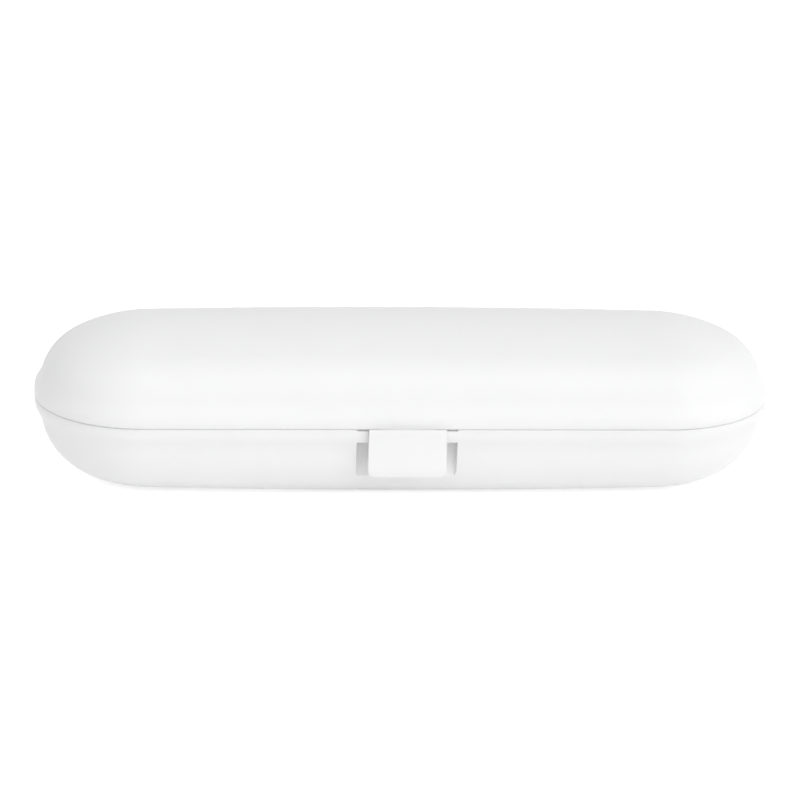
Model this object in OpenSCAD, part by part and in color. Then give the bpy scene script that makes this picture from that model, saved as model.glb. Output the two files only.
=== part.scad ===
// Travel case for an electric toothbrush. Two domed plastic shells hinge along the back
// and a small flap latch on the lid closes over a pocket in the front of the base.
// Millimetres, +Z up. +X runs along the case and -Y faces the latch. The origin is the
// middle of the flat face that the case rests on.

/* [Case] */
// Length over the rims
case_length = 220; // [205:1:240]
// Depth over the rims
case_depth = 67; // [66:1:72]
// Height of the base, from its flat bottom to the seam
base_height = 26.2; // [25:0.2:30]
// Height of the lid above the seam
lid_height = 23.6; // [21:0.1:28]
// Thickness of both shells
shell_wall = 1.8; // [1.5:0.1:2.1]
// Gap between the two rims when the case is shut
seam_gap = 0.1; // [0.1:0.05:0.4]

/* [Dome shape] */
// Radius of the lid's upper corner
lid_corner_r = 16; // [12:0.1:17]
// Radius of the lid's gently curved top
lid_crown_r = 51; // [48:1:100]
// Radius of the base's lower corner
base_corner_r = 20; // [15:0.5:21]
// Radius of the base's gently curved bottom
base_crown_r = 80; // [55:1:100]
// Depth cut off the curved bottom to make the flat face
base_flat_cut = 1; // [0.8:0.1:1.6]

/* [Rims] */
// How far the rims stand out from the domes
band_proud = 1.9; // [1.2:0.1:2.2]
// Height of the upright face of each rim
band_height = 1.5; // [1:0.1:2.5]
// Radius of the round shoulder from the rim's face to the flare
rim_round_r = 6; // [4:0.5:8]
// Radius of the hollow flare between the shoulder and the dome
rim_hollow_r = 16; // [10:1:24]
// Radius of the rims' edges at the seam
band_edge_r = 0.3; // [0.2:0.1:0.5]
// Thickness of the tongue that stands up inside the lid
tongue_thick = 1.3; // [1:0.1:1.4]
// Height of the tongue above the base's rim
tongue_height = 2; // [1.5:0.1:2.3]
// Clearance round the tongue
tongue_clear = 0.15; // [0.12:0.01:0.2]

/* [Back hinge] */
// Distance between the middles of the two hinges
hinge_spread = 96; // [70:1:120]
// Outer radius of the hinge knuckles
knuckle_r = 2.1; // [1.8:0.1:2.6]
// Radius of the hinge pins
hinge_pin_r = 1; // [0.8:0.1:1.1]
// Length of the lid's knuckle in each hinge
lid_knuckle_length = 8; // [6:0.5:12]
// Length of each of the base's two knuckles in a hinge
base_knuckle_length = 5; // [4:0.5:8]
// Gap between a knuckle and the rim or the next knuckle
knuckle_gap = 0.35; // [0.3:0.05:0.5]
// Height of the web that joins a knuckle to its rim
knuckle_web = 3; // [2.6:0.1:3.1]
// Radial clearance of a pin where something turns on it
running_clear = 0.06; // [0.04:0.01:0.09]
// Radial clearance of a pin where it is pushed home
seated_clear = 0.03; // [0.02:0.01:0.05]

/* [Latch] */
// Width of the latch at its top
latch_top_width = 22.5; // [20:0.1:25]
// Width of the latch at its bottom
latch_foot_width = 22.8; // [21:0.1:25]
// Height of the latch
latch_height = 15.6; // [13:0.1:16]
// Thickness of the latch
latch_thick = 2; // [1.6:0.1:2.4]
// Gap between the latch and the rims
latch_gap = 0.4; // [0.35:0.05:0.5]
// Radius of the lower corners, seen from the front
latch_corner_r = 2.8; // [1:0.1:3]
// Height of the foot that curls in towards the base
latch_curl_height = 4; // [2.5:0.1:5]
// Radius of the curl, on the outside
latch_curl_r = 8; // [7:0.5:14]
// Radius of the latch's knuckles and of the lid's lug
latch_knuckle_r = 0.9; // [0.8:0.05:1.45]
// Thickness of the latch in front of the lid's lug
latch_cover = 1; // [0.7:0.05:1.1]
// Clearance between the latch and the lug
latch_play = 0.15; // [0.1:0.05:0.3]
// Radius of the latch pin
latch_pin_r = 0.45; // [0.35:0.05:0.7]
// Width of the lid's lug
lug_width = 16; // [8:0.5:17]
// Angle that the latch swings out through
latch_swing = 50; // [45:1:62]
// Gap between the lid's rim and the top of the latch when it is swung out
latch_open_gap = 0.1; // [0.05:0.05:0.3]
// Gap that keeps the catch ridge clear of the base's rim
catch_clear = 0.1; // [0.08:0.01:0.15]
// Length of the catch ridge on the back of the latch
catch_length = 16; // [12:0.5:18]
// Height of the catch ridge
catch_height = 2.4; // [1.5:0.1:3]

/* [Latch pocket] */
// Depth of the pocket's top edge below the seam
pocket_drop = 4.2; // [4:0.1:5]
// Width of the pocket in the base behind the latch
pocket_width = 29.2; // [27:0.1:32]
// Height of the pocket
pocket_height = 12.3; // [11.5:0.1:13]
// Depth of the pocket behind the face of the rim
pocket_depth = 4.6; // [4.3:0.1:6.4]
// Radius of the pocket's lower corners
pocket_corner_r = 2; // [1:0.1:3]
// Height of the wider part of the seam on both sides of the latch
seam_relief = 0.45; // [0.3:0.05:0.6]

/* [Inside] */
// Thickness of the tray and the liner
tray_wall = 1.4; // [1.2:0.1:1.5]
// Clearance between the shells and what sits in them
tray_clear = 0.3; // [0.25:0.05:0.5]
// Depth of the tray's top below the seam
tray_drop = 2.4; // [2.2:0.1:3]
// Height of the liner's underside above the seam
liner_rise = 3; // [2.8:0.1:3.6]
// Radius of the bay for the toothbrush handle
handle_r = 15; // [13:0.5:15.5]
// Room between the handle's bay and the walls of the latch pocket
pocket_room = 0.8; // [0.5:0.1:1.2]
// Room between the handle's bay and the floor of the base
floor_room = 4; // [3.6:0.1:5]
// Room past the handle's foot, to the end of the case
grip_end_room = 18.6; // [18.6:0.2:30]
// Room past the handle's neck, to the end of the case
neck_end_room = 9.5; // [9.5:0.5:20]
// Radius of the bay for the handle's neck
neck_r = 9; // [7:0.5:10]
// Length of the bay for the handle's neck
neck_bay_length = 38; // [20:1:45]
// Gap between the handle's bay and the brush heads' bays
bay_gap = 1.4; // [1:0.1:2]
// Room between the brush heads' bays and the back wall
head_side_room = 3; // [3:0.1:4]
// Room between the brush heads' bays and the floor of the base
head_floor_room = 7.7; // [7.5:0.1:9]
// Room past the brush heads' bays, to the ends of the case
head_end_room = 24; // [24:1:40]
// Width of the bridge between the two brush head bays
head_bay_bridge = 8; // [6:1:14]
// Clearance of the liner over the handle
handle_clear = 0.5; // [0.3:0.1:0.8]
// Distance between the ribs that carry the tray and the liner
rib_spread = 110; // [90:1:130]
// Thickness of a rib
rib_thick = 2; // [1.5:0.1:3]
// How far a rib stands in from the wall
rib_reach = 1.8; // [1.2:0.1:2]
// Height of a rib
rib_height = 6; // [4:0.5:6.5]

/* [Hidden] */
$fn = 96;

// Overrun of every cut past the face that it opens
cut_over = 1;

// Plan of the case: a spine along X with a half round at each end
rim_half = case_depth / 2;
spine_half = case_length / 2 - rim_half;
dome_half = rim_half - band_proud;
inner_half = dome_half - shell_wall;
rim_offset = seam_gap / 2;

// Cross-sections of the domes: half width, height, corner radius, crown radius
lid_outer = [dome_half, lid_height, lid_corner_r, lid_crown_r];
lid_inner = [inner_half, lid_height - shell_wall, lid_corner_r - shell_wall,
             lid_crown_r - shell_wall];
base_outer = [dome_half, base_height + base_flat_cut, base_corner_r, base_crown_r];
base_inner = [inner_half, base_height - shell_wall, base_corner_r - shell_wall,
              base_crown_r - shell_wall];

// Back hinge
hinge_y = rim_half + knuckle_gap + knuckle_r;
hinge_reach = lid_knuckle_length / 2 + knuckle_gap + base_knuckle_length;

// Spare angle round the lug's web when the latch is open
latch_spare_angle = 5;

// Latch: its axis lies behind the front face by the knuckle, its play and its cover, and
// so far below the seam that the knuckles stay under the lid
latch_face_y = -(rim_half + latch_gap + latch_thick);
latch_reach = latch_knuckle_r + latch_play + latch_cover;
latch_y = latch_face_y + latch_reach;
latch_z = rim_offset - latch_knuckle_r - latch_play;
latch_crest = latch_top_at(latch_reach);
latch_drop = latch_height - latch_crest;
latch_straight = latch_drop - latch_curl_height;
latch_curl_angle = asin((latch_curl_height - latch_thick / 2) / (latch_curl_r - latch_thick / 2));
latch_knuckle_end = latch_top_width / 2 - latch_play;
lug_top = rim_offset + band_edge_r - latch_z;
recess_r = latch_knuckle_r + latch_play;
recess_half = latch_knuckle_end + latch_play;

// Places inside the case
inner_end = spine_half + inner_half;
tray_half = inner_half - tray_clear;
handle_y = -(rim_half - pocket_depth - shell_wall - pocket_room - tray_wall - handle_r);
handle_z = shell_wall + floor_room + tray_wall + handle_r - base_height;
grip_start = grip_end_room - inner_end;
neck_end = inner_end - neck_end_room;
neck_start = neck_end - neck_bay_length;
grip_bay_length = neck_start - grip_start;
head_front = handle_y + handle_r + tray_wall + bay_gap;
head_r = (inner_half - head_side_room - head_front) / 2 - tray_wall;
head_y = head_front + tray_wall + head_r;
head_z = shell_wall + head_floor_room + tray_wall + head_r - base_height;
head_bay_length = inner_end - head_end_room - head_bay_bridge / 2;

// Centre of the hollow arc that runs smoothly from a rim's shoulder to a dome's corner arc
function hollow_centre(shoulder, corner, corner_r) =
    let (apart = norm(corner - shoulder),
         line = (corner - shoulder) / apart,
         shoulder_reach = rim_round_r + rim_hollow_r,
         corner_reach = corner_r + rim_hollow_r,
         along = (pow(apart, 2) + pow(shoulder_reach, 2) - pow(corner_reach, 2)) / (2 * apart),
         aside = sqrt(pow(shoulder_reach, 2) - pow(along, 2)))
    shoulder + along * line + aside * [line[1], -line[0]];

// Height of the latch's sloping top over its axis, at a distance in front of the axis. The
// slope lies along the lid's rim, short of it by latch_open_gap, when the latch is open.
function latch_top_at(front) =
    (-latch_y - rim_half - latch_open_gap + front * cos(latch_swing)) / sin(latch_swing);

// Height of the centre of a dome's corner arc, which meets the crown arc smoothly
function corner_rise(dome) =
    dome[1] - dome[3] + sqrt(pow(dome[3] - dome[2], 2) - pow(dome[0] - dome[2], 2));

// Half width of a dome at a height below its crown arc
function wall_at(dome, height) =
    let (above = max(0, height - corner_rise(dome)))
    dome[0] - dome[2] + sqrt(pow(dome[2], 2) - pow(above, 2));

// Carries what is drawn about the seam up to the seam's height
module at_seam() {
    translate([0, 0, base_height]) children();
}

// Extrudes an area of the YZ plane along X, from start over a length
module along_x(start, length) {
    translate([start, 0, 0]) rotate([90, 0, 90]) linear_extrude(height = length) children();
}

// Carries half a cross-section round the plan of the case
module round_the_plan() {
    along_x(-spine_half, 2 * spine_half) {
        children();
        mirror([1, 0]) children();
    }
    for (side = [-1, 1]) {
        translate([side * spine_half, 0, 0])
            rotate([0, 0, -90 * side]) rotate_extrude(angle = 180) children();
    }
}

// Half of a dome's cross-section: a straight foot, a corner arc and a crown arc
module dome_area(dome) {
    half = dome[0];
    corner_r = dome[2];
    crown_r = dome[3];
    corner_x = half - corner_r;
    corner_z = corner_rise(dome);
    crown_z = dome[1] - crown_r;
    lean = atan2(corner_x, corner_z - crown_z);
    sector_r = 2 * crown_r;
    intersection() {
        square([half, dome[1]]);
        union() {
            square([half, corner_z]);
            translate([corner_x, corner_z]) circle(r = corner_r);
            intersection() {
                translate([0, crown_z]) circle(r = crown_r, $fn = 2 * $fn);
                polygon([[0, crown_z], [0, crown_z + sector_r],
                         [sector_r * sin(lean), crown_z + sector_r * cos(lean)]]);
            }
        }
    }
}

// Half of a rim's cross-section: its upright face, and the flare into the dome
module band_area(dome) {
    shoulder = [rim_half - rim_round_r, band_height];
    corner = [dome[0] - dome[2], corner_rise(dome)];
    hollow = hollow_centre(shoulder, corner, dome[2]);
    square([rim_half - band_edge_r, band_height]);
    translate([0, rim_offset + band_edge_r])
        square([rim_half, band_height - band_edge_r - rim_offset]);
    translate([rim_half - band_edge_r, rim_offset + band_edge_r]) circle(r = band_edge_r);
    intersection() {
        translate(shoulder) circle(r = rim_round_r);
        translate([0, band_height]) square([rim_half, rim_round_r]);
    }
    difference() {
        polygon([shoulder, hollow, corner]);
        translate(hollow) circle(r = rim_hollow_r, $fn = 2 * $fn);
    }
}

// Half of the lid's cross-section above the seam
module lid_area() {
    difference() {
        union() {
            dome_area(lid_outer);
            band_area(lid_outer);
        }
        dome_area(lid_inner);
        translate([0, -cut_over]) square([rim_half + cut_over, cut_over + rim_offset]);
        square([inner_half + tongue_thick + tongue_clear, tongue_height + tongue_clear]);
    }
}

// Half of the base's cross-section, drawn upside down, with the tongue on its rim
module base_area() {
    difference() {
        union() {
            intersection() {
                dome_area(base_outer);
                square([dome_half, base_height]);
            }
            band_area(base_outer);
        }
        dome_area(base_inner);
        translate([0, -cut_over]) square([rim_half + cut_over, cut_over + rim_offset]);
    }
    translate([inner_half, -tongue_height]) square([tongue_thick, tongue_height + shell_wall]);
}

// Cross-section of a back knuckle, with its web to the rim and the bore for its pin
module knuckle_area(bore_r) {
    root_y = rim_half - band_proud / 2;
    difference() {
        union() {
            translate([hinge_y, 0]) circle(r = knuckle_r);
            polygon([[root_y, rim_offset], [hinge_y, rim_offset], [hinge_y, knuckle_r],
                     [root_y, knuckle_web]]);
        }
        translate([hinge_y, 0]) circle(r = bore_r);
    }
}

// Ribs inside a shell that carry the edge of the tray or the liner. The wall is the half
// width of the hollow at the end of the ribs, where the dome has drawn in the most.
module ribs(foot, wall) {
    back = wall + shell_wall / 2;
    depth = back - inner_half + rib_reach;
    for (side = [-1, 1]) {
        for (place = [-1, 1])
            translate([place * rib_spread / 2 - rib_thick / 2,
                       side > 0 ? back - depth : -back, foot])
                cube([rib_thick, depth, rib_height]);
        translate([side > 0 ? spine_half + back - depth : -spine_half - back,
                   -rib_thick / 2, foot])
            cube([depth, rib_thick, rib_height]);
    }
}

// Walls of the pocket behind the latch, kept inside the skin of the base
module pocket_walls() {
    skin = shell_wall / 2;
    top = pocket_drop - shell_wall;
    back = rim_half - pocket_depth - shell_wall;
    width = pocket_width + 2 * shell_wall;
    mirror([0, 0, 1]) along_x(-width / 2, width) mirror([1, 0]) intersection() {
        dome_area([for (size = base_outer) size - skin]);
        translate([back, top])
            square([rim_half - back, pocket_height + 2 * shell_wall]);
    }
}

// Outline of the pocket, seen from the front
module pocket_outline() {
    low = -(pocket_drop + pocket_height);
    half = pocket_width / 2;
    translate([-half, low + pocket_corner_r])
        square([pocket_width, pocket_height - pocket_corner_r]);
    translate([-half + pocket_corner_r, low])
        square([pocket_width - 2 * pocket_corner_r, pocket_height]);
    for (side = [-1, 1])
        translate([side * (half - pocket_corner_r), low + pocket_corner_r])
            circle(r = pocket_corner_r);
}

// The hollow of the pocket
module pocket_cut() {
    back = rim_half - pocket_depth;
    translate([0, -back, 0]) rotate([90, 0, 0])
        linear_extrude(height = pocket_depth + cut_over) pocket_outline();
}

// Room in the base's rim for the latch's barrel, and the wider seam beside the latch
module barrel_cut() {
    back = -latch_y - recess_r;
    depth = recess_r - latch_z;
    translate([-recess_half, -rim_half - cut_over, -depth])
        cube([2 * recess_half, rim_half + cut_over - back, depth]);
    translate([-pocket_width / 2, -rim_half - cut_over, -seam_relief - rim_offset])
        cube([pocket_width, cut_over + tongue_thick, seam_relief + rim_offset]);
}

module base_shell() {
    color("white") at_seam() {
        difference() {
            union() {
                mirror([0, 0, 1]) round_the_plan() base_area();
                pocket_walls();
            }
            pocket_cut();
            barrel_cut();
        }
        ribs(-tray_drop - tray_wall - rib_height,
             wall_at(base_inner, tray_drop + tray_wall + rib_height));
        for (hinge = [-1, 1])
            for (end = [-1, 1]) {
                middle = hinge * hinge_spread / 2
                         + end * (hinge_reach - base_knuckle_length / 2);
                mirror([0, 0, 1]) along_x(middle - base_knuckle_length / 2, base_knuckle_length)
                    knuckle_area(hinge_pin_r + seated_clear);
            }
    }
}

module lid_shell() {
    lug_bore_r = latch_pin_r + seated_clear;
    color("white") at_seam() {
        difference() {
            union() {
                round_the_plan() lid_area();
                along_x(-lug_width / 2, lug_width) translate([latch_y, latch_z]) {
                    circle(r = latch_knuckle_r);
                    square([latch_knuckle_r, lug_top]);
                }
            }
            along_x(-lug_width / 2 - cut_over, lug_width + 2 * cut_over)
                translate([latch_y, latch_z]) circle(r = lug_bore_r);
        }
        ribs(liner_rise + tray_wall, wall_at(lid_inner, liner_rise + tray_wall + rib_height));
        for (hinge = [-1, 1])
            along_x(hinge * hinge_spread / 2 - lid_knuckle_length / 2, lid_knuckle_length)
                knuckle_area(hinge_pin_r + running_clear);
    }
}

// Side view of the latch's plate, drawn about its axis with the front towards +X
module latch_side() {
    inner = latch_reach - latch_thick;
    curl_reach = 2 * latch_curl_r;
    polygon([[inner, -latch_straight], [latch_reach, -latch_straight],
             [latch_reach, latch_crest], [inner, latch_top_at(inner)]]);
    translate([latch_reach - latch_curl_r, -latch_straight]) {
        intersection() {
            difference() {
                circle(r = latch_curl_r);
                circle(r = latch_curl_r - latch_thick);
            }
            polygon([[0, 0], [curl_reach, 0], curl_reach * [1, -tan(latch_curl_angle)]]);
        }
        rotate(-latch_curl_angle) translate([latch_curl_r - latch_thick / 2, 0])
            circle(r = latch_thick / 2);
    }
}

// Front view of the latch, drawn about its axis
module latch_front() {
    foot_half = latch_foot_width / 2;
    top_half = latch_top_width / 2;
    corner_z = latch_corner_r - latch_drop;
    polygon([[-top_half, latch_crest], [top_half, latch_crest], [foot_half, corner_z],
             [-foot_half, corner_z]]);
    translate([latch_corner_r - foot_half, -latch_drop])
        square([2 * (foot_half - latch_corner_r), latch_corner_r]);
    for (side = [-1, 1])
        translate([side * (foot_half - latch_corner_r), corner_z]) circle(r = latch_corner_r);
}

// Side view of the low ridge that closes under the base's rim
module catch_side() {
    root = latch_reach - latch_thick + latch_play;
    tip = latch_reach - latch_thick - (latch_gap - catch_clear);
    top = -(pocket_drop + latch_play + latch_z);
    polygon([[root, top], [tip, top], [root, top - catch_height]]);
}

// Room in the latch for the lid's lug, also while the latch swings
module lug_room() {
    web_r = lug_top + latch_play;
    far = 2 * web_r;
    start = 90 - latch_swing - latch_spare_angle;
    circle(r = latch_knuckle_r + latch_play);
    intersection() {
        circle(r = web_r);
        polygon([[0, 0], far * [cos(start), sin(start)], [far, far], [-far, far], [-far, 0]]);
    }
}

module front_latch() {
    lug_half = lug_width / 2 + latch_play;
    color("white") at_seam() difference() {
        union() {
            intersection() {
                along_x(-latch_foot_width / 2, latch_foot_width)
                    translate([latch_y, latch_z]) mirror([1, 0]) latch_side();
                translate([0, latch_y + latch_reach, latch_z]) rotate([90, 0, 0])
                    linear_extrude(height = 4 * latch_reach, center = true) latch_front();
            }
            along_x(-latch_knuckle_end, 2 * latch_knuckle_end)
                translate([latch_y, latch_z]) circle(r = latch_knuckle_r);
            along_x(-catch_length / 2, catch_length)
                translate([latch_y, latch_z]) mirror([1, 0]) catch_side();
        }
        along_x(-lug_half, 2 * lug_half)
            translate([latch_y, latch_z]) mirror([1, 0]) lug_room();
        along_x(-latch_top_width, 2 * latch_top_width)
            translate([latch_y, latch_z]) circle(r = latch_pin_r + running_clear);
    }
}

module latch_pin() {
    length = 2 * (latch_knuckle_end - latch_play);
    color("silver") at_seam() along_x(-length / 2, length)
        translate([latch_y, latch_z]) circle(r = latch_pin_r);
}

// Steel pin of one back hinge; side is -1 on the left and 1 on the right
module hinge_pin(side) {
    length = 2 * (hinge_reach - knuckle_gap);
    color("silver") at_seam() along_x(side * hinge_spread / 2 - length / 2, length)
        translate([hinge_y, 0]) circle(r = hinge_pin_r);
}

module hinge_pin_left() {
    hinge_pin(-1);
}

module hinge_pin_right() {
    hinge_pin(1);
}

// Flat plate that fills the plan of the case at the tray's size
module plan_plate(foot) {
    translate([0, 0, foot]) linear_extrude(height = tray_wall) {
        translate([-spine_half, -tray_half]) square([2 * spine_half, 2 * tray_half]);
        for (side = [-1, 1]) translate([side * spine_half, 0]) circle(r = tray_half);
    }
}

// A bay with a round bottom and straight sides, up to a height of top
module bay(start, length, axis_y, axis_z, r, top) {
    along_x(start, length) intersection() {
        translate([axis_y, axis_z]) {
            circle(r = r);
            translate([-r, 0]) square([2 * r, base_height]);
        }
        translate([axis_y - r, axis_z - r]) square([2 * r, top - axis_z + r]);
    }
}

// Every bay of the tray, grown by a wall for its outside
module bays(grow, top) {
    bay(grip_start - grow, grip_bay_length + 2 * grow, handle_y, handle_z, handle_r + grow, top);
    bay(neck_start - tray_wall, neck_bay_length + tray_wall + grow, handle_y, handle_z,
        neck_r + grow, top);
    for (side = [-1, 1])
        bay(side * (head_bay_bridge + head_bay_length) / 2 - head_bay_length / 2 - grow,
            head_bay_length + 2 * grow, head_y, head_z, head_r + grow, top);
}

module base_tray() {
    notch_half = pocket_width / 2 + shell_wall + tray_clear;
    notch_y = rim_half - pocket_depth - shell_wall - tray_clear;
    color("gainsboro") at_seam() difference() {
        union() {
            plan_plate(-tray_drop - tray_wall);
            bays(tray_wall, -tray_drop);
        }
        bays(0, cut_over - tray_drop);
        translate([-notch_half, -rim_half, -tray_drop - tray_wall - cut_over])
            cube([2 * notch_half, rim_half - notch_y, tray_wall + 2 * cut_over]);
    }
}

// Arch of the liner over one stretch of the handle, as far down as the liner's underside
module liner_arch(start, length, r) {
    along_x(start, length) intersection() {
        translate([handle_y, handle_z]) circle(r = r);
        translate([handle_y - r, liner_rise]) square([2 * r, r]);
    }
}

module lid_liner() {
    color("gainsboro") at_seam() difference() {
        union() {
            plan_plate(liner_rise);
            liner_arch(grip_start - tray_wall, grip_bay_length + 2 * tray_wall,
                       handle_r + handle_clear + tray_wall);
            liner_arch(neck_start - tray_wall, neck_bay_length + 2 * tray_wall,
                       neck_r + handle_clear + tray_wall);
        }
        along_x(grip_start, grip_bay_length)
            translate([handle_y, handle_z]) circle(r = handle_r + handle_clear);
        along_x(neck_start - tray_wall, neck_bay_length + tray_wall)
            translate([handle_y, handle_z]) circle(r = neck_r + handle_clear);
    }
}

base_shell();
lid_shell();
front_latch();
latch_pin();
hinge_pin_left();
hinge_pin_right();
base_tray();
lid_liner();
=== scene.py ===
"""The look of a white travel case for an electric toothbrush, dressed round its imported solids.

Metres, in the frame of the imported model: +X runs along the case, -Y faces the latch, +Z is up,
and the case rests on the floor at z = 0.
"""

import math

import bpy
from mathutils import Euler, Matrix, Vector


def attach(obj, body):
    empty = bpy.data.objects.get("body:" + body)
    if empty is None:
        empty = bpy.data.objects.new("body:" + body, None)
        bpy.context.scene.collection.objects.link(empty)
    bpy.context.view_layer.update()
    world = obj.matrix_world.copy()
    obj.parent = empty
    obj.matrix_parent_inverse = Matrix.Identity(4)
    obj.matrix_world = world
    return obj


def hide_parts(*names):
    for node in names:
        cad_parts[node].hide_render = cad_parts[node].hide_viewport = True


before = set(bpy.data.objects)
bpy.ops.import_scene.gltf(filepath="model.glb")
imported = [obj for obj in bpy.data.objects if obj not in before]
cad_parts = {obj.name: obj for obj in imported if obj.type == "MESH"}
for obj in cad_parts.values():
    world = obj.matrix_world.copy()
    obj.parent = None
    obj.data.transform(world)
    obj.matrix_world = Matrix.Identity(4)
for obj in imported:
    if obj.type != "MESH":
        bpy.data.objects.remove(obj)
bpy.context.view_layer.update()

# Camera, fitted to the outline, the seam and the latch in the photograph. Angles are in radians,
# and PIXELS_PER_METRE holds at the seam's middle.
SEAM_HEIGHT = 0.0262
PHOTO_SIDE = 800
VIEW_ELEVATION = math.radians(20.31)
VIEW_TURN = math.radians(-3.157)
VIEW_DISTANCE = 0.755
PIXELS_PER_METRE = 3321
CENTRE_PIXEL = (402.2, 389.7)
VIEW_ROLL = 0.021
SENSOR_WIDTH = 36.0
CLIP_START = 0.01
CLIP_END = 50


def add_camera():
    """The photograph's view.

    The seam's middle lands on CENTRE_PIXEL, and the frame leans by VIEW_ROLL.
    """
    data = bpy.data.cameras.new("photo_camera")
    camera = bpy.data.objects.new("photo_camera", data)
    bpy.context.scene.collection.objects.link(camera)
    back = Vector((math.sin(VIEW_TURN) * math.cos(VIEW_ELEVATION),
                   -math.cos(VIEW_TURN) * math.cos(VIEW_ELEVATION),
                   math.sin(VIEW_ELEVATION)))
    aim = Vector((0, 0, SEAM_HEIGHT))
    camera.location = aim + back * VIEW_DISTANCE
    camera.rotation_mode = "QUATERNION"
    look = (-back).to_track_quat("-Z", "Y")
    camera.rotation_quaternion = look @ Euler((0, 0, VIEW_ROLL)).to_quaternion()
    data.sensor_width = SENSOR_WIDTH
    data.lens = SENSOR_WIDTH * PIXELS_PER_METRE * VIEW_DISTANCE / PHOTO_SIDE
    data.shift_x = (PHOTO_SIDE / 2 - CENTRE_PIXEL[0]) / PHOTO_SIDE
    data.shift_y = (CENTRE_PIXEL[1] - PHOTO_SIDE / 2) / PHOTO_SIDE
    data.clip_start = CLIP_START
    data.clip_end = CLIP_END
    bpy.context.scene.camera = camera


add_camera()

# The studio. Azimuth, elevation and spread are in degrees, and azimuth 0 is the latch's side.

# White walls, brightest towards the window
LIGHT_AZIMUTH = 38
WALL_ELEVATION = 8
WORLD_DIM_SIDE = 0.55
WORLD_BRIGHT_SIDE = 0.834
# The window
LAMP_ELEVATION = 35
LAMP_LEVEL = 0.873
LAMP_SPREAD = 50
# A lamp that shows in the gloss alone
GLINT_AZIMUTH = 20
GLINT_ELEVATION = 62
GLINT_LEVEL = 0.6
GLINT_SPREAD = 30
# The lit table top
TABLE_LEVEL = 0.015
TABLE_SIZE = (0.8, 0.5)
TABLE_LIFT = 0.0005
# The white floor
FLOOR_COLOUR = 0.95
FLOOR_GLOW = 0.6
FLOOR_HALF = 6.0
WHITE = (1, 1, 1, 1)


def node(tree, kind, **values):
    """A new node with attributes and inputs set by name."""
    made = tree.nodes.new(kind)
    for name, value in values.items():
        if name in made.inputs:
            made.inputs[name].default_value = value
        else:
            setattr(made, name, value)
    return made


def join(tree, source, target):
    """Links one socket to another."""
    tree.links.new(source, target)


def ranged(tree, value, low, high, start=0.2, stop=0.8):
    """The value carried from start..stop over to low..high."""
    span = node(tree, "ShaderNodeMapRange",
                **{"From Min": start, "From Max": stop, "To Min": low, "To Max": high})
    join(tree, value, span.inputs["Value"])
    return span.outputs["Result"]


def seen_directly(tree):
    """1 for camera, glossy and transmission rays, 0 for the light that falls on the case."""
    path = tree.nodes.new("ShaderNodeLightPath")
    total = path.outputs["Is Camera Ray"]
    for name in ("Is Glossy Ray", "Is Transmission Ray"):
        either = node(tree, "ShaderNodeMath", operation="MAXIMUM")
        join(tree, total, either.inputs[0])
        join(tree, path.outputs[name], either.inputs[1])
        total = either.outputs[0]
    return total


def towards(azimuth, elevation):
    """Unit vector to a place round the case. Azimuth 0 is the front, and 90 the right."""
    turn, rise = math.radians(azimuth), math.radians(elevation)
    return Vector((math.sin(turn) * math.cos(rise), -math.cos(turn) * math.cos(rise),
                   math.sin(rise)))


def add_world():
    """White walls, which shine a little brighter on the window's side."""
    world = bpy.data.worlds.new("studio")
    bpy.context.scene.world = world
    world.use_nodes = True
    tree = world.node_tree
    background = tree.nodes["Background"]
    lean = node(tree, "ShaderNodeVectorMath", operation="DOT_PRODUCT")
    join(tree, tree.nodes.new("ShaderNodeTexCoord").outputs["Generated"], lean.inputs[0])
    lean.inputs[1].default_value = towards(LIGHT_AZIMUTH, WALL_ELEVATION)
    light = ranged(tree, lean.outputs["Value"], WORLD_DIM_SIDE, WORLD_BRIGHT_SIDE, -1, 1)
    level = node(tree, "ShaderNodeMapRange")
    join(tree, seen_directly(tree), level.inputs["Value"])
    join(tree, light, level.inputs["To Min"])
    join(tree, level.outputs["Result"], background.inputs["Strength"])
    background.inputs["Color"].default_value = WHITE


def add_lamp(name, azimuth, elevation, level, spread, only_gloss=False):
    """A soft distant lamp, or one that shows in reflections alone."""
    data = bpy.data.lights.new(name, "SUN")
    data.energy = level
    data.angle = math.radians(spread)
    lamp = bpy.data.objects.new(name, data)
    bpy.context.scene.collection.objects.link(lamp)
    lamp.rotation_mode = "QUATERNION"
    lamp.rotation_quaternion = towards(azimuth, elevation).to_track_quat("Z", "Y")
    lamp.visible_diffuse = not only_gloss


def add_light_table():
    """The glow of the lit table top, which reaches the underside of the case.

    The camera doesn't see it. The energy is what gives the ellipse TABLE_LEVEL all over.
    """
    data = bpy.data.lights.new("light_table", "AREA")
    data.shape = "ELLIPSE"
    data.size, data.size_y = TABLE_SIZE
    data.energy = TABLE_LEVEL * math.pi * math.pi / 4 * TABLE_SIZE[0] * TABLE_SIZE[1]
    lamp = bpy.data.objects.new("light_table", data)
    bpy.context.scene.collection.objects.link(lamp)
    lamp.location = (0, 0, TABLE_LIFT)
    lamp.rotation_euler = (math.pi, 0, 0)
    lamp.visible_camera = False


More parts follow.
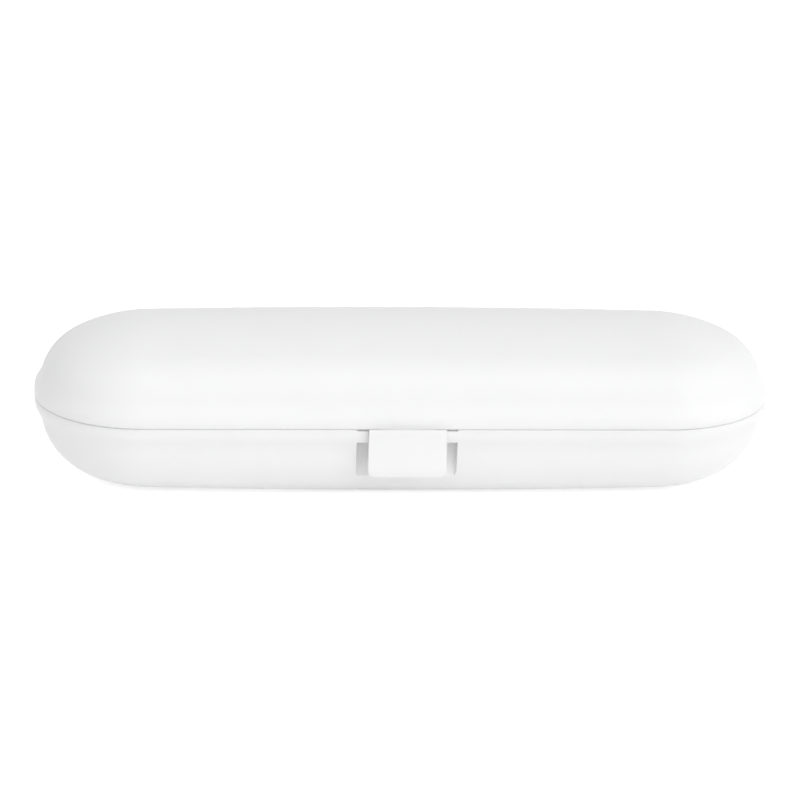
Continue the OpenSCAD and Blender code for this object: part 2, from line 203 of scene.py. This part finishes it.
def add_floor():
    """A plain white floor that keeps the case's shadow and meets the white background."""
    mesh = bpy.data.meshes.new("floor")
    half = FLOOR_HALF
    mesh.from_pydata([(-half, -half, 0), (half, -half, 0), (half, half, 0), (-half, half, 0)],
                     [], [(0, 1, 2, 3)])
    floor = bpy.data.objects.new("floor", mesh)
    bpy.context.scene.collection.objects.link(floor)
    material = bpy.data.materials.new("floor_paper")
    material.use_nodes = True
    tree = material.node_tree
    paper = tree.nodes["Principled BSDF"]
    paper.inputs["Base Color"].default_value = (FLOOR_COLOUR,) * 3 + (1,)
    paper.inputs["Roughness"].default_value = 1.0
    paper.inputs["Specular IOR Level"].default_value = 0.0
    paper.inputs["Emission Color"].default_value = WHITE
    glow = node(tree, "ShaderNodeMath", operation="MULTIPLY")
    join(tree, seen_directly(tree), glow.inputs[0])
    glow.inputs[1].default_value = FLOOR_GLOW
    join(tree, glow.outputs[0], paper.inputs["Emission Strength"])
    mesh.materials.append(material)


add_world()
add_lamp("soft_window", LIGHT_AZIMUTH, LAMP_ELEVATION, LAMP_LEVEL, LAMP_SPREAD)
add_lamp("soft_glint", GLINT_AZIMUTH, GLINT_ELEVATION, GLINT_LEVEL, GLINT_SPREAD,
         only_gloss=True)
add_light_table()
add_floor()

# The plastic. WAVES are noise waves per metre, DEPTH is a bump's height in metres.
TINT_WAVES, TINT_DETAIL = 38, 3
RUB_WAVES, RUB_DETAIL = 420, 4
SINK_WAVES, SINK_DETAIL = 55, 1
SINK_DEPTH, SINK_STRENGTH = 0.0002, 0.12
GRAIN_DETAIL, GRAIN_STRENGTH = 3, 0.35
EDGE_SAMPLES = 6
PLASTIC_IOR = 1.49
PLASTIC_SPECULAR = 0.4
GLOW_RADIUS = (1, 0.95, 0.9)
GLOW_SCALE = 0.002

# The steel wire, whose marks are stretched along X
MARK_WAVES, MARK_DETAIL = 2600, 4
MARK_STRETCH = (0.03, 1, 1)
MARK_DEPTH, MARK_STRENGTH = 0.00002, 0.4
WIRE_DARK, WIRE_LIGHT = (0.50, 0.50, 0.51), (0.70, 0.70, 0.71)
WIRE_ROUGHNESS = (0.24, 0.4)

# Sockets of the colour mix node, whose names come more than once
MIX_FACTOR, MIX_FIRST, MIX_SECOND, MIX_RESULT = 0, 6, 7, 2


def object_noise(tree, scale, detail, stretch=(1, 1, 1)):
    """Noise over the object's own coordinates, in waves per metre."""
    place = tree.nodes.new("ShaderNodeTexCoord")
    mapping = node(tree, "ShaderNodeMapping")
    mapping.inputs["Scale"].default_value = stretch
    join(tree, place.outputs["Object"], mapping.inputs["Vector"])
    noise = node(tree, "ShaderNodeTexNoise", Scale=scale, Detail=detail)
    join(tree, mapping.outputs["Vector"], noise.inputs["Vector"])
    return noise.outputs["Fac"]


def tinted(tree, value, dark, light):
    """A colour between two, picked by a value from 0 to 1."""
    blend = node(tree, "ShaderNodeMix", data_type="RGBA")
    blend.inputs[MIX_FIRST].default_value = (*dark, 1)
    blend.inputs[MIX_SECOND].default_value = (*light, 1)
    join(tree, value, blend.inputs[MIX_FACTOR])
    return blend.outputs[MIX_RESULT]


def bumped(tree, height, depth, strength, below=None):
    """A bump whose height field stands depth metres high, over the normals below it."""
    bump = node(tree, "ShaderNodeBump", Strength=strength, Distance=depth)
    join(tree, height, bump.inputs["Height"])
    if below is not None:
        join(tree, below, bump.inputs["Normal"])
    return bump.outputs["Normal"]


def moulded_plastic(name, dark, light, roughness, grain, grain_depth, edge, soft=0.0):
    """Moulded plastic with a fine spark-etched grain, slow sinks from cooling and uneven gloss.

    Its edges catch the light as if they were rounded by a radius of edge metres, and soft is
    the share of the light that glows through from under the surface.
    """
    material = bpy.data.materials.new(name)
    material.use_nodes = True
    tree = material.node_tree
    plastic = tree.nodes["Principled BSDF"]
    cloud = object_noise(tree, TINT_WAVES, TINT_DETAIL)
    join(tree, tinted(tree, ranged(tree, cloud, 0, 1), dark, light), plastic.inputs["Base Color"])
    rub = object_noise(tree, RUB_WAVES, RUB_DETAIL)
    join(tree, ranged(tree, rub, *roughness), plastic.inputs["Roughness"])
    rounded = node(tree, "ShaderNodeBevel", samples=EDGE_SAMPLES, Radius=edge)
    sinks = bumped(tree, object_noise(tree, SINK_WAVES, SINK_DETAIL), SINK_DEPTH, SINK_STRENGTH,
                   rounded.outputs["Normal"])
    fine = bumped(tree, object_noise(tree, grain, GRAIN_DETAIL), grain_depth, GRAIN_STRENGTH,
                  sinks)
    join(tree, fine, plastic.inputs["Normal"])
    plastic.inputs["IOR"].default_value = PLASTIC_IOR
    plastic.inputs["Specular IOR Level"].default_value = PLASTIC_SPECULAR
    if soft:
        plastic.inputs["Subsurface Weight"].default_value = soft
        plastic.inputs["Subsurface Radius"].default_value = GLOW_RADIUS
        plastic.inputs["Subsurface Scale"].default_value = GLOW_SCALE
    return material


def drawn_wire(name):
    """Steel wire with draw marks along its length."""
    material = bpy.data.materials.new(name)
    material.use_nodes = True
    tree = material.node_tree
    steel = tree.nodes["Principled BSDF"]
    marks = object_noise(tree, MARK_WAVES, MARK_DETAIL, MARK_STRETCH)
    join(tree, tinted(tree, ranged(tree, marks, 0, 1), WIRE_DARK, WIRE_LIGHT),
         steel.inputs["Base Color"])
    join(tree, ranged(tree, marks, *WIRE_ROUGHNESS), steel.inputs["Roughness"])
    join(tree, bumped(tree, marks, MARK_DEPTH, MARK_STRENGTH), steel.inputs["Normal"])
    steel.inputs["Metallic"].default_value = 1.0
    return material


SHELL = moulded_plastic(
    "satin_white_shell", dark=(0.915, 0.915, 0.915), light=(0.94, 0.94, 0.94),
    roughness=(0.44, 0.56), grain=5200, grain_depth=0.00003, edge=0.0003, soft=0.3)
FLAP = moulded_plastic(
    "smooth_white_flap", dark=(0.915, 0.915, 0.915), light=(0.935, 0.935, 0.935),
    roughness=(0.28, 0.36), grain=2600, grain_depth=0.000006, edge=0.0005, soft=0.2)
INSERT = moulded_plastic(
    "matt_pale_insert", dark=(0.705, 0.715, 0.725), light=(0.74, 0.75, 0.76),
    roughness=(0.50, 0.68), grain=3600, grain_depth=0.00006, edge=0.0009)
WIRE = drawn_wire("drawn_steel_wire")

FINISHES = {
    "base_shell": SHELL,
    "lid_shell": SHELL,
    "front_latch": FLAP,
    "latch_pin": WIRE,
    "hinge_pin_left": WIRE,
    "hinge_pin_right": WIRE,
    "base_tray": INSERT,
    "lid_liner": INSERT,
}


def dress(piece, material):
    """Puts one material into every slot of a piece."""
    if not piece.material_slots:
        piece.data.materials.append(material)
    for slot in piece.material_slots:
        slot.material = material


for name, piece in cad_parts.items():
    dress(piece, FINISHES[name])

# The long arch of the real case. At ARCH_HALF from the middle a point loses ARCH_SHARE of its
# height over the seam, nothing within ARCH_STIFF of the seam and all of that share past
# ARCH_FREE. The straight part is cut every ARCH_STEP, so that its long faces can bend.
# Corners that round to the same multiple of MERGE_GAP become one.
ARCH_SHARE = 0.0821
ARCH_HALF = 0.110
ARCH_STIFF = 0.003
ARCH_FREE = 0.009
ARCH_STEP = 0.006
END_RADIUS = 0.0335
MERGE_GAP = 1e-7


def arch_tree(material):
    """Draws a shell in towards the seam plane, more and more towards both ends of the case.

    What lies near the seam stays where it is, so the rims, hinges and latch still meet.
    """
    tree = bpy.data.node_groups.new("long_arch", "GeometryNodeTree")
    face = tree.interface
    face.new_socket("Geometry", in_out="INPUT", socket_type="NodeSocketGeometry")
    for label in ("Arch Share", "Half Length", "Seam Height", "Stiff Height", "Free Height"):
        face.new_socket(label, in_out="INPUT", socket_type="NodeSocketFloat")
    face.new_socket("Geometry", in_out="OUTPUT", socket_type="NodeSocketGeometry")
    given = tree.nodes.new("NodeGroupInput").outputs

    def calc(operation, first, second):
        """One step of arithmetic, on sockets or numbers."""
        made = node(tree, "ShaderNodeMath", operation=operation)
        for place, value in enumerate((first, second)):
            if isinstance(value, (int, float)):
                made.inputs[place].default_value = value
            else:
                join(tree, value, made.inputs[place])
        return made.outputs[0]

    parts = tree.nodes.new("ShaderNodeSeparateXYZ")
    join(tree, tree.nodes.new("GeometryNodeInputPosition").outputs[0], parts.inputs[0])
    along = calc("DIVIDE", parts.outputs["X"], given["Half Length"])
    rise = calc("SUBTRACT", parts.outputs["Z"], given["Seam Height"])
    freed = node(tree, "ShaderNodeMapRange", interpolation_type="SMOOTHSTEP")
    join(tree, calc("ABSOLUTE", rise, 0.0), freed.inputs["Value"])
    join(tree, given["Stiff Height"], freed.inputs["From Min"])
    join(tree, given["Free Height"], freed.inputs["From Max"])
    pull = calc("MULTIPLY", calc("MULTIPLY", along, along), given["Arch Share"])
    pull = calc("MULTIPLY", pull, freed.outputs["Result"])
    moved = tree.nodes.new("ShaderNodeCombineXYZ")
    join(tree, calc("MULTIPLY", calc("MULTIPLY", pull, rise), -1.0), moved.inputs["Z"])
    shift = tree.nodes.new("GeometryNodeSetPosition")
    join(tree, given["Geometry"], shift.inputs["Geometry"])
    join(tree, moved.outputs[0], shift.inputs["Offset"])
    real = tree.nodes.new("GeometryNodeRealizeInstances")
    join(tree, shift.outputs[0], real.inputs[0])
    skin = node(tree, "GeometryNodeSetMaterial", Material=material)
    join(tree, real.outputs[0], skin.inputs["Geometry"])
    join(tree, skin.outputs[0], tree.nodes.new("NodeGroupOutput").inputs[0])
    return tree


def cut_at(corners, place):
    """Both parts of a convex ring of (point, normal) corners, split where X is place."""
    parts = ([], [])
    for (point, normal), (next_point, next_normal) in zip(corners, corners[1:] + corners[:1]):
        gap, next_gap = point.x - place, next_point.x - place
        if gap <= 0:
            parts[0].append((point, normal))
        if gap >= 0:
            parts[1].append((point, normal))
        if gap * next_gap < 0:
            share = gap / (gap - next_gap)
            middle = (point.lerp(next_point, share), normal.lerp(next_normal, share).normalized())
            parts[0].append(middle)
            parts[1].append(middle)
    return parts


def joined_mesh(name, source, places):
    """A node's loose triangles, cut at places along X and joined at their shared corners.

    The node's own shading normals go with them.
    """
    mesh = source.data
    rings = []
    for face in mesh.polygons:
        ring = [(mesh.vertices[mesh.loops[i].vertex_index].co.copy(),
                 mesh.corner_normals[i].vector.copy()) for i in face.loop_indices]
        low_x, high_x = min(c[0].x for c in ring), max(c[0].x for c in ring)
        for place in places:
            if low_x + MERGE_GAP < place < high_x - MERGE_GAP:
                before, ring = cut_at(ring, place)
                rings.append(before)
        rings.append(ring)
    number_of, points, faces, normals = {}, [], [], []
    for ring in rings:
        corners = []
        for point, normal in ring:
            key = tuple(round(value / MERGE_GAP) for value in point)
            if key not in number_of:
                number_of[key] = len(points)
                points.append(point)
            if number_of[key] not in [corner[0] for corner in corners]:
                corners.append((number_of[key], normal))
        if len(corners) > 2:
            faces.append([corner[0] for corner in corners])
            normals += [corner[1] for corner in corners]
    made = bpy.data.meshes.new(name)
    made.from_pydata(points, [], faces)
    made.shade_smooth()
    made.normals_split_custom_set(normals)
    return made


def arched_shell(name, source_name, body):
    """The shell of one node with the long arch, in place of that node."""
    steps = int((ARCH_HALF - END_RADIUS) / ARCH_STEP)
    places = [step * ARCH_STEP for step in range(-steps, steps + 1)]
    mesh = joined_mesh(name + "_draft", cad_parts[source_name], places)
    draft = bpy.data.objects.new(name + "_draft", mesh)
    bpy.context.scene.collection.objects.link(draft)
    modifier = draft.modifiers.new("arch", "NODES")
    tree = arch_tree(SHELL)
    modifier.node_group = tree
    sizes = {"Arch Share": ARCH_SHARE, "Half Length": ARCH_HALF, "Seam Height": SEAM_HEIGHT,
             "Stiff Height": ARCH_STIFF, "Free Height": ARCH_FREE}
    for item in tree.interface.items_tree:
        if item.in_out == "INPUT" and item.name in sizes:
            modifier[item.identifier] = sizes[item.name]
    shaped = bpy.data.meshes.new_from_object(draft.evaluated_get(
        bpy.context.evaluated_depsgraph_get()))
    bpy.data.objects.remove(draft)
    shaped.name = name
    piece = bpy.data.objects.new(name, shaped)
    bpy.context.scene.collection.objects.link(piece)
    dress(piece, SHELL)
    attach(piece, body)
    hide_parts(source_name)


arched_shell("arched_base", "base_shell", "base")
arched_shell("arched_lid", "lid_shell", "lid")

bpy.context.scene.view_settings.view_transform = "Standard"
